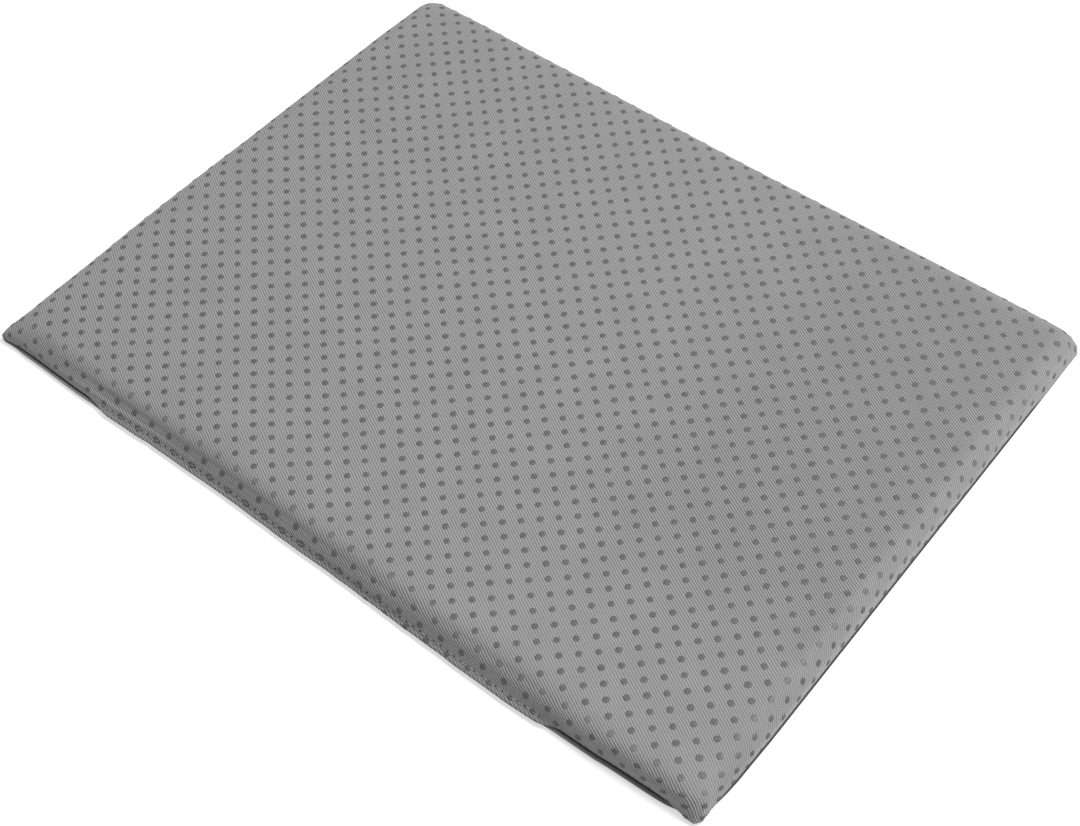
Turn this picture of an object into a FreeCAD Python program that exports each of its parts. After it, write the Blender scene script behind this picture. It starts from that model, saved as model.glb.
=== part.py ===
import FreeCAD, Part
import math
import os
from FreeCAD import Vector

# Soft laptop cooling pad: a sewn fabric cover around foam, a mat of crystal cells and wadding.
# Origin at the centre of the underside, +X along the long side, +Y towards the back long side,
# +Z up. All sizes are millimetres, all angles degrees.

# ---- covers ----
PAD_LENGTH = 360.0          # along X, over the seam
PAD_WIDTH = 280.0           # along Y, over the seam
PAD_THICKNESS = 12.7        # underside to the top fabric, without the grip dots
CORNER_RADIUS = 12.0        # plan radius at the seam
SEAM_HEIGHT = 2.8           # seam line above the underside
SEAM_GAP = 0.05             # the bottom cover ends this far below the seam line
CLOTH = 0.7                 # thickness of both cover cloths
WALL_LEAN = 3.0             # how far the side leans in between the seam and the top
TOP_CORNER_EASE = 1.0       # extra plan radius of the top corners
TOP_CORNER_RADIUS = CORNER_RADIUS - WALL_LEAN + TOP_CORNER_EASE
TOP_ROLL = 6.0              # radius of the roll between the side and the top
BASE_INSET = 5.0            # outline to the edge of the underside, before it is rolled
BASE_ROLL = 4.0             # radius where the underside turns up to the seam

# ---- grip dots ----
DOT_PITCH = 10.0            # spacing along rows and columns; a second set sits half-way between
DOT_DIAMETER = 3.0
DOT_HEIGHT = 0.3
DOT_ROW_ANGLE = 0.84        # rows turn this far from +X towards +Y
DOT_COLUMN_ANGLE = 1.53     # columns lean this far from +Y towards +X
DOT_ORIGIN = (3.05, -8.29)  # x, y of the dot the pattern is counted from
DOT_KEEP_IN = 10.0          # dot centres stop this far inside the outline

# ---- layers inside ----
CLEAR = 0.05                # gap between neighbouring layers
LAYER_CORNER_RADIUS = 10.0  # plan radius of every flat layer
PADDING_INSET = 10.0        # pad outline to the edge of the foam and the wadding
MAT_INSET = 9.0             # pad outline to the edge of the crystal mat
FOAM_THICKNESS = 3.5
FILM = 0.15                 # film of the crystal mat
WADDING_THICKNESS = 0.9

# ---- crystal cells ----
CELL_COLUMNS, CELL_ROWS = 4, 3
CELL_PITCH_X, CELL_PITCH_Y = 84.0, 86.0
CELL_GAP = 6.0              # between neighbouring fills
FILL_LENGTH = CELL_PITCH_X - CELL_GAP
FILL_WIDTH = CELL_PITCH_Y - CELL_GAP
FILL_THICKNESS = 6.2
FILL_CORNER_RADIUS = 8.0    # in plan
FILL_RIM_RADIUS = 2.0       # round the upper rim

# ---- sewing ----
THREAD = 0.35               # thread diameter
SEAM_THREAD_INSET = 1.6     # thread centre to the inner face of the cloth at the seam
CLOSING_LENGTH = 232.0      # run of the topstitch on the front side
CLOSING_CENTRE = -4.0       # its middle along X, a little left of the pad's
CLOSING_RISE = 1.3          # stitch line above the seam, measured on the side face
CLOSING_STITCH = 2.7        # visible length of one stitch
CLOSING_PITCH = 3.33
CLOSING_CLEAR = 0.02        # stitch to the cloth

# ---- heights of the layers, from the underside up ----
FOAM_Z = CLOTH + CLEAR
LOWER_FILM_Z = FOAM_Z + FOAM_THICKNESS + CLEAR
UPPER_FILM_Z = LOWER_FILM_Z + FILM
FILL_Z = UPPER_FILM_Z + CLEAR
FILL_TOP = FILL_Z + FILL_THICKNESS
WADDING_Z = FILL_TOP + CLEAR + FILM + CLEAR


def save(name, shape):
    shape.exportStep(os.path.join("parts", name + ".step"))


def inset_outline(inset, radius):
    """Length, width and corner radius of the pad outline moved in by inset."""
    return PAD_LENGTH - 2 * inset, PAD_WIDTH - 2 * inset, radius


def rounded_wire(length, width, radius, z):
    """Closed rounded rectangle centred on the Z axis."""
    a, b = length / 2.0, width / 2.0
    mid = radius * (1.0 - math.sqrt(0.5))  # from each straight side to the middle of an arc
    # Start, middle and end of each corner arc, anticlockwise from the front right.
    corners = [
        ((a - radius, -b), (a - mid, -b + mid), (a, -b + radius)),
        ((a, b - radius), (a - mid, b - mid), (a - radius, b)),
        ((-a + radius, b), (-a + mid, b - mid), (-a, b - radius)),
        ((-a, -b + radius), (-a + mid, -b + mid), (-a + radius, -b)),
    ]
    edges = []
    previous = Vector(*corners[-1][-1], z)
    for corner in corners:
        start, middle, end = [Vector(x, y, z) for x, y in corner]
        edges.append(Part.makeLine(previous, start))
        edges.append(Part.Arc(start, middle, end).toShape())
        previous = end
    return Part.Wire(edges)


def loft(lower, upper, z0, z1):
    """Ruled solid between two rounded rectangles."""
    return Part.makeLoft([rounded_wire(*lower, z0), rounded_wire(*upper, z1)], True, True)


def round_rim(body, level, radius):
    """Fillet the edges that lie at one height."""
    rim = [e for e in body.Edges if all(abs(v.Z - level) < 1e-6 for v in e.Vertexes)]
    return body.makeFillet(radius, rim)


def plate(outline, z, thickness):
    """Flat rounded sheet standing on height z."""
    return Part.Face(rounded_wire(*outline, z)).extrude(Vector(0, 0, thickness))


def layer(inset, z, thickness):
    """Flat layer reaching to inset from the pad outline."""
    return plate(inset_outline(inset, LAYER_CORNER_RADIUS), z, thickness)


def top_body(skin):
    """Upper body of the pad, shrunk by skin at the sides and the top."""
    top = PAD_THICKNESS - skin
    body = loft(inset_outline(skin, CORNER_RADIUS - skin),
                inset_outline(WALL_LEAN + skin, TOP_CORNER_RADIUS - skin),
                SEAM_HEIGHT, top)
    return round_rim(body, top, TOP_ROLL - skin)


def top_cover():
    return top_body(0.0).cut(top_body(CLOTH))


def bottom_cover():
    """Shallow tray whose sides slope out from the underside to the seam."""
    rim_z = SEAM_HEIGHT - SEAM_GAP
    floor_radius = CORNER_RADIUS - BASE_INSET
    tray = loft(inset_outline(BASE_INSET, floor_radius), inset_outline(0.0, CORNER_RADIUS),
                0.0, rim_z)
    tray = round_rim(tray, 0.0, BASE_ROLL)

    # Horizontal thickness of the sloping cloth, and how far the side
    # has already moved out at the height of the inner floor.
    side_cloth = CLOTH / math.sin(math.atan2(rim_z, BASE_INSET))
    floor_out = BASE_INSET * CLOTH / rim_z
    hollow = loft(inset_outline(BASE_INSET - floor_out + side_cloth, floor_radius),
                  inset_outline(side_cloth, CORNER_RADIUS - side_cloth),
                  CLOTH, rim_z)
    return tray.cut(hollow)


def grip_dots():
    """Staggered dots on the top fabric, in slightly skewed rows and columns."""
    row_angle = math.radians(DOT_ROW_ANGLE)
    column_angle = math.radians(DOT_COLUMN_ANGLE)
    row_step = (DOT_PITCH * math.cos(row_angle), DOT_PITCH * math.sin(row_angle))
    column_step = (DOT_PITCH * math.sin(column_angle), DOT_PITCH * math.cos(column_angle))
    reach = int(max(PAD_LENGTH, PAD_WIDTH) / DOT_PITCH) + 2
    half_steps = range(-reach, reach + 1)
    dots = []
    for i in half_steps:
        for j in half_steps:
            if (i - j) % 2:  # every second half-step is empty
                continue
            x = DOT_ORIGIN[0] + i / 2.0 * row_step[0] + j / 2.0 * column_step[0]
            y = DOT_ORIGIN[1] + i / 2.0 * row_step[1] + j / 2.0 * column_step[1]
            if abs(x) > PAD_LENGTH / 2 - DOT_KEEP_IN or abs(y) > PAD_WIDTH / 2 - DOT_KEEP_IN:
                continue
            dots.append(Part.makeCylinder(DOT_DIAMETER / 2.0, DOT_HEIGHT,
                                          Vector(x, y, PAD_THICKNESS)))
    return Part.makeCompound(dots)


def cell_block(x, y, grow, z0, z1):
    """Block over one cell, larger than the fill by grow all round, its upper rim softened."""
    outline = (FILL_LENGTH + 2 * grow, FILL_WIDTH + 2 * grow, FILL_CORNER_RADIUS + grow)
    block = round_rim(plate(outline, z0, z1 - z0), z1, FILL_RIM_RADIUS + grow)
    block.translate(Vector(x, y, 0))
    return block


def cell_centres():
    """Row, column, x and y of each cell; row 1 is at the front, column 1 at the left."""
    return [(row + 1, column + 1,
             (column - (CELL_COLUMNS - 1) / 2.0) * CELL_PITCH_X,
             (row - (CELL_ROWS - 1) / 2.0) * CELL_PITCH_Y)
            for row in range(CELL_ROWS) for column in range(CELL_COLUMNS)]


def upper_film(cells):
    """Flat film with one raised pocket over each fill."""
    film = layer(MAT_INSET, UPPER_FILM_Z, FILM)
    for row, column, x, y in cells:
        grow = CLEAR + FILM
        film = film.fuse(cell_block(x, y, grow, UPPER_FILM_Z, FILL_TOP + grow))
    for row, column, x, y in cells:
        film = film.cut(cell_block(x, y, CLEAR, UPPER_FILM_Z, FILL_TOP + CLEAR))
    return film.removeSplitter()


def wadding_sheet():
    """Wadding under the top fabric, never thicker than the room left for it."""
    room = PAD_THICKNESS - CLOTH - CLEAR - WADDING_Z
    return layer(PADDING_INSET, WADDING_Z, min(WADDING_THICKNESS, room))


def seam_thread():
    """One run of thread round the inside of the seam."""
    inset = CLOTH + SEAM_THREAD_INSET
    z = SEAM_HEIGHT + THREAD
    path = rounded_wire(*inset_outline(inset, CORNER_RADIUS - inset), z)
    # The section stands where the front straight begins.
    start = Vector(-(PAD_LENGTH / 2 - CORNER_RADIUS), -(PAD_WIDTH / 2 - inset), z)
    section = Part.Wire(Part.makeCircle(THREAD / 2.0, start, Vector(1, 0, 0)))
    return path.makePipeShell([section], True, False)


def closing_topstitch():
    """Round-ended stitches in a row along the leaning front side, just above the seam."""
    radius = THREAD / 2.0
    wall_height = PAD_THICKNESS - SEAM_HEIGHT
    lean = math.atan2(WALL_LEAN, wall_height)
    face_y = -PAD_WIDTH / 2 + WALL_LEAN * CLOSING_RISE / wall_height
    stand_off = radius + CLOSING_CLEAR  # square to the side face
    y = face_y - stand_off * math.cos(lean)
    z = SEAM_HEIGHT + CLOSING_RISE + stand_off * math.sin(lean)
    stitches = []
    for k in range(int(CLOSING_LENGTH / CLOSING_PITCH)):
        left = CLOSING_CENTRE - CLOSING_LENGTH / 2 + k * CLOSING_PITCH
        start = Vector(left + radius, y, z)
        end = Vector(left + CLOSING_STITCH - radius, y, z)
        rod = Part.makeCylinder(radius, CLOSING_STITCH - 2 * radius, start, Vector(1, 0, 0))
        stitch = rod.fuse(Part.makeSphere(radius, start)).fuse(Part.makeSphere(radius, end))
        stitches.append(stitch.removeSplitter())
    return Part.makeCompound(stitches)


os.makedirs("parts", exist_ok=True)
save("top_cover", top_cover())
save("bottom_cover", bottom_cover())
save("grip_dots", grip_dots())
save("foam_backing", layer(PADDING_INSET, FOAM_Z, FOAM_THICKNESS))
save("crystal_mat_lower_film", layer(MAT_INSET, LOWER_FILM_Z, FILM))
cells = cell_centres()
for row, column, x, y in cells:
    save("crystal_fill_row%d_col%d" % (row, column), cell_block(x, y, 0.0, FILL_Z, FILL_TOP))
save("crystal_mat_upper_film", upper_film(cells))
save("wadding_sheet", wadding_sheet())
save("seam_thread", seam_thread())
save("closing_topstitch", closing_topstitch())
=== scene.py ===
"""A flat rectangular pad: twill top cloth with printed silicone dots, plain bottom cloth, and
foam, wadding and crystal mats inside. It lies on its underside with the origin at the centre
of the underside: +X is right, -Y is front, +Z is up. Sizes are in millimetres unless noted.
"""
import math

import bpy
import numpy as np
from mathutils import Matrix, Vector
from mathutils.bvhtree import BVHTree


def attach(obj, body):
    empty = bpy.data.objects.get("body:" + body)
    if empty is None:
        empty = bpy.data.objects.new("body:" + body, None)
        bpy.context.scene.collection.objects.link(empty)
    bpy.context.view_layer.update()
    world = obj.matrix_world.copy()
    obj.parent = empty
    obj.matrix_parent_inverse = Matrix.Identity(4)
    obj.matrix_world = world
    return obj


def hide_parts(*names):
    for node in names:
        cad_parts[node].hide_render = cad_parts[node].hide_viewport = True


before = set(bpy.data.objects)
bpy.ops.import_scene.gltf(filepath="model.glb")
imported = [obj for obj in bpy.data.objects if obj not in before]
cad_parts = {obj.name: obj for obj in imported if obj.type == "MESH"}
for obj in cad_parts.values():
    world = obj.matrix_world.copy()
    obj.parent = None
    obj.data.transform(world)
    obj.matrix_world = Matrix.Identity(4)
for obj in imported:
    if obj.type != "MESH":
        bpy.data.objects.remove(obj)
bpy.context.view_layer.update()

# =========================================================================================
# Sizes
# =========================================================================================
MM = 0.001
UV_UNIT = 100.0                         # millimetres per unit of every UV map
HALF_X, HALF_Y = 181.0, 139.0           # seam outline
ZONE = 40.0                             # size of each corner zone
ZX, ZY = HALF_X - ZONE, HALF_Y - ZONE   # half lengths of the straight parts
PLATEAU_Z = 12.4                        # middle of the top
SEAM_Z = 2.75
WALL_Z0 = SEAM_Z + 0.62                 # foot of the side of the top cloth
CLOTH_T = 0.5

PRINT_MIDDLE = np.array([1.9, -2.5])    # centre of the dish and origin of the print
PRINT_REACH = (150, 115)                # half sizes by which the dish and print are scaled

# "run" is the cloth length from the seam, up the side and over the roll on to the flat
SLOPE_RUN = [0.0, 3.0, 5.0, 8.0, 10.0, 12.0, 14.0, 17.0, 22.0]
SLOPE_DEG = [77.0, 73.0, 68.0, 57.0, 41.0, 22.0, 9.5, 2.5, 0.0]
RUN_FLAT = SLOPE_RUN[-1]
RUN_INNER = 26.0                        # run of the innermost ring

# topstitched closing on the front side
CLOSE_X0, CLOSE_X1 = -124.33, 112.5
STITCH_PITCH = 3.33
HOLE_X0 = CLOSE_X0 + 1.2                # first needle hole
RUN_STITCH = 1.3                        # run of the line of stitches

# stations of the finest ring, about 0.7 mm apart: long side, short side, corner zone
NX, NY, NC = 400, 280, 104

# corners anticlockwise from front right:
# side in x, side in y, radius at the seam, growth of the radius up the side, lowering
CORNERS = [
    (1, -1, 4.0, 3.0, 0.10),
    (1, 1, 8.0, 0.5, 0.06),
    (-1, 1, 8.3, 0.5, 0.06),
    (-1, -1, 4.3, 4.0, 0.30),
]


def smooth(start, end, value):
    """Smooth step from 0 at start to 1 at end. start may be the larger one."""
    t = np.clip((value - start) / (end - start), 0, 1)
    return t * t * (3 - 2 * t)


def side_section():
    """Against the run: inset from the seam, share of the rise, and slope angle."""
    run = np.linspace(0, RUN_FLAT, 2201)
    angle = np.radians(np.interp(run, SLOPE_RUN, SLOPE_DEG))
    blur = np.hanning(121)
    blur /= blur.sum()
    angle = np.convolve(np.pad(angle, 60, mode="edge"), blur, mode="valid")
    step = run[1] - run[0]
    inset = np.concatenate([[0], np.cumsum(np.cos(angle))[:-1] * step])
    rise = np.concatenate([[0], np.cumsum(np.sin(angle))[:-1] * step])
    return run, inset, rise / rise[-1], angle


SECTION_RUN, SECTION_INSET, SECTION_RISE, SECTION_ANGLE = side_section()
EXCESS = SECTION_RUN[-1] - SECTION_INSET[-1]     # cloth taken up by the side and roll
EDGE_X, EDGE_Y = HALF_X + EXCESS, HALF_Y + EXCESS  # cloth coordinates of the seam


def inset_at(run):
    return np.interp(run, SECTION_RUN, SECTION_INSET) + max(run - RUN_FLAT, 0.0)


def value_noise(x, y, size, seed):
    """Smooth repeatable noise, about -1 to 1, features of the given size."""
    count = 64
    grid = np.random.RandomState(seed).uniform(-1, 1, (count, count))
    x, y = np.asarray(x) / size + 1000.0, np.asarray(y) / size + 1000.0
    i, j = np.floor(x).astype(int), np.floor(y).astype(int)
    ease_x, ease_y = (f * f * f * (f * (f * 6 - 15) + 10) for f in (x - i, y - j))

    def along_x(row):
        left, right = grid[i % count, row % count], grid[(i + 1) % count, row % count]
        return left * (1 - ease_x) + right * ease_x

    return along_x(j) * (1 - ease_y) + along_x(j + 1) * ease_y


# =========================================================================================
# Rings and meshes
# =========================================================================================
def ring(half_x, half_y, radii, level):
    """Closed rounded rectangle, anticlockwise from the left end of the front's straight part.
    Every ring of one level has matching stations."""
    xs = np.linspace(-ZX, ZX, NX // level + 1)
    ys = np.linspace(-ZY, ZY, NY // level + 1)

    def corner(k):
        side_x, side_y = CORNERS[k][:2]
        angle = (k - 1) * math.pi / 2 + np.linspace(0, 1, 41) * math.pi / 2
        arc = np.c_[side_x * (half_x - radii[k]) + radii[k] * np.cos(angle),
                    side_y * (half_y - radii[k]) + radii[k] * np.sin(angle)]
        ends = [(side_x * ZX, side_y * half_y), (side_x * half_x, side_y * ZY)]
        if k % 2:
            ends.reverse()
        path = np.vstack([ends[0], arc, ends[1]])
        length = np.r_[0, np.cumsum(np.hypot(*np.diff(path, axis=0).T))]
        at = np.linspace(0, length[-1], NC // level + 1)
        return np.c_[np.interp(at, length, path[:, 0]), np.interp(at, length, path[:, 1])][1:-1]

    return np.vstack([
        np.c_[xs, np.full_like(xs, -half_y)], corner(0),
        np.c_[np.full_like(ys, half_x), ys], corner(1),
        np.c_[xs[::-1], np.full_like(xs, half_y)], corner(2),
        np.c_[np.full_like(ys, -half_x), ys[::-1]], corner(3),
    ])


class Builder:
    """Collects vertices, cloth coordinates and faces of one mesh."""

    def __init__(self):
        self.co, self.uv, self.faces, self.count = [], [], [], 0

    def add(self, co, uv):
        start = self.count
        self.co.append(np.asarray(co, float))
        self.uv.append(np.asarray(uv, float))
        self.count += len(co)
        return np.arange(start, self.count)

    def strip(self, first, second, flip=False):
        """Quads between two closed rings with the same count."""
        first2, second2 = np.roll(first, -1), np.roll(second, -1)
        order = (first, second, second2, first2) if flip else (first, first2, second2, second)
        self.faces.extend(np.column_stack(order).tolist())

    def bridge(self, dense, sparse, flip):
        """Triangles between a ring and one with a half or a quarter of its stations."""
        step = len(dense) // len(sparse)
        on = [np.roll(dense, -k)[::step] for k in range(step + 1)]
        ahead = np.roll(sparse, -1)
        if step == 2:
            parts = [(on[0], on[1], sparse), (on[1], ahead, sparse), (on[1], on[2], ahead)]
        else:
            parts = [(on[1], sparse, on[0]), (on[2], sparse, on[1]), (ahead, sparse, on[2]),
                     (on[3], ahead, on[2]), (on[4], ahead, on[3])]
        tris = np.vstack([np.column_stack(part) for part in parts])
        self.faces.extend((tris[:, ::-1] if flip else tris).tolist())

    def stack(self, rings, flip=False, after=None):
        """Adds rings of (points, cloth coordinates), each joined to the next, the first one
        also to the denser ring `after`."""
        ids = [self.add(points, uv) for points, uv in rings]
        if after is not None:
            self.bridge(after, ids[0], flip)
        for first, second in zip(ids, ids[1:]):
            self.strip(first, second, flip)
        return ids

    def fill(self, border, height_at, flip=False):
        """Grid inside a closed ring of level 4, at the heights given by height_at(x, y)."""
        half = NC // 8
        nx, ny = NX // 4 + 2 * half, NY // 4 + 2 * half
        walk = [(i, 0) for i in range(nx)] + [(nx, j) for j in range(ny)]
        walk += [(i, ny) for i in range(nx, 0, -1)] + [(0, j) for j in range(ny, 0, -1)]
        ids = np.full((nx + 1, ny + 1), -1)
        for vertex, place in zip(border, walk[half:] + walk[:half]):
            ids[place] = vertex
        co = np.vstack(self.co)
        x, y = np.meshgrid(co[ids[1:-1, 0], 0], co[ids[0, 1:-1], 1], indexing="ij")
        x, y = x.ravel(), y.ravel()
        new = self.add(np.c_[x, y, height_at(x, y)], np.c_[x, y])
        ids[1:-1, 1:-1] = new.reshape(nx - 1, ny - 1)
        quads = np.c_[ids[:-1, :-1].ravel(), ids[1:, :-1].ravel(),
                      ids[1:, 1:].ravel(), ids[:-1, 1:].ravel()]
        self.faces.extend((quads[:, ::-1] if flip else quads).tolist())

    def tube(self, path, radius, sides, start=0.0, closed=False):
        """Tube round a path with one radius per point. start: cloth coordinate of its start."""
        if closed:
            along = np.roll(path, -1, 0) - np.roll(path, 1, 0)
        else:
            along = np.gradient(path, axis=0)
        along /= np.linalg.norm(along, axis=1)[:, None]
        level = np.cross(along, [0.0, 0.0, 1.0])
        level /= np.linalg.norm(level, axis=1)[:, None]
        across = np.cross(level, along)
        angle = (np.arange(sides) * 2 * math.pi / sides)[None, :, None]
        spokes = np.cos(angle) * level[:, None] + np.sin(angle) * across[:, None]
        co = (path[:, None] + radius[:, None, None] * spokes).reshape(-1, 3)
        length = np.r_[0, np.cumsum(np.linalg.norm(np.diff(path, axis=0), axis=1))] + start
        uv = np.c_[np.repeat(length, sides), np.tile(np.arange(sides) / sides, len(path))]
        ids = self.add(co, uv).reshape(-1, sides)
        beside, ahead = np.roll(ids, -1, 1), np.roll(ids, -1, 0)
        quads = np.stack([ids, beside, np.roll(ahead, -1, 1), ahead], axis=-1)
        if closed:
            self.faces.extend(quads.reshape(-1, 4).tolist())
        else:
            self.faces.extend(quads[:-1].reshape(-1, 4).tolist())
            self.faces.extend([ids[0][::-1].tolist(), ids[-1].tolist()])

    def arrays(self):
        return np.vstack(self.co), np.vstack(self.uv)


def make_piece(name, builder, material, part, seam=None):
    """Object from a builder. part: the CAD piece it replaces. seam: a second UV map."""
    co, uv = builder.arrays()
    mesh = bpy.data.meshes.new(name)
    mesh.from_pydata((co * MM).tolist(), [], builder.faces)
    vertex = np.zeros(len(mesh.loops), np.int32)
    mesh.loops.foreach_get("vertex_index", vertex)
    for layer_name, coords in (("cloth", uv), ("seam", seam)):
        if coords is not None:
            layer = mesh.uv_layers.new(name=layer_name)
            flat = (coords[vertex] / UV_UNIT).astype(np.float32).ravel()
            layer.data.foreach_set("uv", flat)
    mesh.polygons.foreach_set("use_smooth", np.full(len(mesh.polygons), True))
    mesh.update()
    ob = bpy.data.objects.new(name, mesh)
    bpy.context.scene.collection.objects.link(ob)
    mesh.materials.append(material)
    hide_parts(part)
    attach(ob, "root")


# =========================================================================================
# Shape of the top: hollow, swells, corners
# =========================================================================================
# low swells of the top: height, centre x, centre y, spread x, spread y
SWELLS = [
    (1.97, -64, -123, 27, 19), (1.27, 148, -39, 25, 45), (0.73, 40, 9, 21, 45),
    (0.96, -145, -129, 14, 14), (0.40, -143, 100, 45, 22), (-0.61, 92, -96, 18, 29),
]


def radii_at(run):
    """Corner radii of the ring at this run, sharpening towards the innermost ring."""
    radii = []
    for _, _, radius, growth, _ in CORNERS:
        radius = radius + growth * smooth(0, 9, run)
        radii.append(radius + (0.6 - radius) * smooth(11, RUN_INNER, run))
    return radii


def dish(x, y):
    """Height of the flat top over its middle: a shallow hollow with a slightly raised rim."""
    x = np.clip((x - PRINT_MIDDLE[0]) / PRINT_REACH[0], -1.08, 1.08)
    y = np.clip((y - PRINT_MIDDLE[1]) / PRINT_REACH[1], -1.08, 1.08)
    return (0.46 * x**2 + 0.82 * y**2 + 0.60 * x**4 + 0.06 * y**4
            - 0.94 * x**2 * y**2 - 0.20 * x * y)


def unevenness(x, y):
    z = (0.10 * value_noise(x, y, size=46, seed=3) + 0.05 * value_noise(x, y, size=21, seed=5)
         + 0.018 * value_noise(x, y, size=9, seed=8))
    # faint valleys over the joints between the cells of the mat
    for middle in (-84.0, 0.0, 84.0):
        z = z - 0.10 * np.exp(-((x - middle) / 5.0) ** 2) * smooth(133, 120, np.abs(y))
    for middle in (-43.0, 43.0):
        z = z - 0.08 * np.exp(-((y - middle) / 5.0) ** 2) * smooth(172, 160, np.abs(x))
    return z


def swell(x, y):
    return sum(height * np.exp(-(x - middle_x) ** 2 / (2 * spread_x * spread_x)
                               - (y - middle_y) ** 2 / (2 * spread_y * spread_y))
               for height, middle_x, middle_y, spread_x, spread_y in SWELLS)


def corner_spot(x, y, side_x, side_y, inset, spread):
    """Bell-shaped weight round a point set in from a corner of the seam outline."""
    square = (x - side_x * (HALF_X - inset)) ** 2 + (y - side_y * (HALF_Y - inset)) ** 2
    return np.exp(-square / (2 * spread**2))


def front_right_spot(x, y):
    return corner_spot(x, y, 1, -1, inset=5, spread=6.0)


def front_left_spot(x, y):
    return corner_spot(x, y, -1, -1, inset=2, spread=5.0)


def corner_low(x, y):
    """Share of the rise that is left near the corners."""
    share = np.ones_like(x)
    for side_x, side_y, _, _, lowering in CORNERS:
        share = share * (1 - lowering * corner_spot(x, y, side_x, side_y, inset=0, spread=15.0))
    return share


def rise_of_top(x, y):
    return PLATEAU_Z + dish(x, y) + unevenness(x, y) - WALL_Z0


def flat_height(x, y):
    """Height of the top inside the rolled edge."""
    return WALL_Z0 + rise_of_top(x, y) * corner_low(x, y) + swell(x, y)


# =========================================================================================
# How the front and right sides settle: change of inset and of height.
# Rows by run from the seam, columns by place along the side.
# =========================================================================================
SETTLE_RUN = [0.0, 3.0, 5.5, 8.0, 10.5, 13.0, 16.0, 20.0]
FRONT_NODES = np.arange(-165, 166, 22)
FRONT_IN = [
    [0.0] * 16,
    [-0.1, 0.3, 0.6, 0.6, 0.4, 0.3, 0.3, 0.2, -0.2, -0.3, 0.1, 0.3, 0.4, 0.0, -0.7, -0.7],
    [0.1, 0.9, 1.4, 1.4, 1.1, 0.8, 0.8, 0.6, 0.2, -0.1, 0.2, 0.5, 0.5, -0.4, -0.9, -0.8],
    [0.5, 1.1, 1.8, 1.8, 1.4, 1.3, 1.2, 1.0, 0.6, 0.4, 0.3, 0.4, 0.4, -0.4, -0.8, -0.7],
    [0.8, 1.1, 1.2, 1.3, 1.1, 1.0, 1.0, 0.8, 0.5, 0.3, 0.2, 0.4, 0.3, -0.3, -0.5, -0.4],
    [0.6, 1.0, 1.1, 1.0, 1.0, 0.8, 0.8, 0.6, 0.3, 0.2, 0.0, 0.1, -0.1, -0.2, -0.4, -0.4],
    [0.5, 0.6, 0.7, 0.7, 0.5, 0.4, 0.4, 0.4, 0.2, 0.1, 0.0, 0.0, -0.2, -0.3, -0.4, -0.4],
    [0.4, 0.4, 0.4, 0.3, 0.3, 0.2, 0.2, 0.2, 0.1, 0.0, -0.1, -0.2, -0.2, -0.2, -0.3, -0.3],
]
FRONT_UP = [
    [0.0] * 16,
    [-0.2, -0.9, 0.0, 0.3, 0.5, 0.8, 0.7, 0.7, 0.8, 0.8, 0.1, -0.5, -0.6, 0.5, 1.1, 0.4],
    [-0.5, -1.6, -1.6, -1.0, -0.2, 0.3, 0.1, -0.1, 0.1, 0.5, 0.0, -0.8, -0.9, 0.7, 1.3, 0.4],
    [-0.5, -1.6, -2.2, -1.8, -0.7, -0.4, -0.5, -0.7, -0.6, -0.3, -0.2, -0.8, -1.2, 0.5, 1.1, 0.2],
    [-0.4, -1.1, -1.6, -1.2, -0.2, 0.2, 0.0, -0.2, -0.4, -0.3, -0.2, -1.0, -1.2, 0.2, 1.1, 0.2],
    [0.1, -0.6, -1.0, -0.6, 0.3, 0.7, 0.4, 0.0, 0.0, 0.1, 0.1, -0.4, -0.4, 0.0, 1.0, 0.8],
    [0.2, -0.3, -0.6, -0.3, 0.8, 1.2, 0.6, 0.2, -0.1, 0.0, 0.2, -0.1, 0.0, 0.4, 0.9, 0.8],
    [0.3, -0.1, -0.2, 0.0, 1.2, 1.5, 0.9, 0.3, -0.2, -0.1, 0.2, 0.1, -0.1, 0.4, 0.9, 0.8],
]
RIGHT_NODES = np.arange(-121, 122, 22)
RIGHT_IN = [
    [0.0] * 12,
    [0.0, -0.4, -0.4, -0.2, -0.1, -0.1, -0.1, -0.4, -0.4, -0.1, 0.0, 0.0],
    [0.2, -0.1, -0.1, -0.1, -0.1, -0.1, -0.5, -0.6, -0.4, -0.2, -0.1, -0.1],
    [0.5, 0.2, 0.1, 0.0, -0.1, -0.2, -0.5, -0.4, -0.2, -0.2, -0.3, -0.3],
    [0.4, 0.1, 0.0, 0.0, -0.1, -0.4, -0.5, -0.3, -0.2, -0.2, -0.2, -0.2],
    [0.3, 0.0, -0.1, 0.0, -0.3, -0.4, -0.5, -0.4, -0.2, -0.2, -0.1, 0.0],
    [0.2, -0.1, -0.1, -0.2, -0.3, -0.4, -0.4, -0.3, -0.2, 0.0, 0.0, 0.0],
    [0.2, -0.1, -0.1, -0.1, -0.2, -0.3, -0.3, -0.2, 0.0, 0.0, 0.0, 0.0],
]
RIGHT_UP = [
    [0.0] * 12,
    [-0.2, -0.2, 0.0, 0.0, 0.2, 0.0, -0.3, -0.4, -0.4, -0.4, -0.3, -0.1],
    [-0.8, -0.5, -0.2, 0.4, 0.7, 0.6, 0.1, -0.2, -0.3, -0.3, -0.1, 0.2],
    [-1.2, -0.6, 0.0, 0.6, 1.0, 1.2, 0.8, 0.4, 0.1, 0.1, 0.1, 0.2],
    [-1.2, -0.3, 0.6, 1.5, 1.9, 1.7, 1.1, 0.5, 0.2, -0.1, -0.1, 0.0],
    [-0.8, 0.4, 1.1, 1.7, 1.8, 1.3, 0.9, 0.6, 0.2, -0.1, -0.3, -0.3],
    [-0.2, 0.4, 0.7, 0.9, 1.1, 1.0, 0.7, 0.3, 0.0, -0.2, -0.3, -0.3],
    [-0.1, 0.3, 0.6, 0.7, 0.9, 0.7, 0.5, 0.2, -0.1, -0.3, -0.3, -0.2],
]


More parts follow.
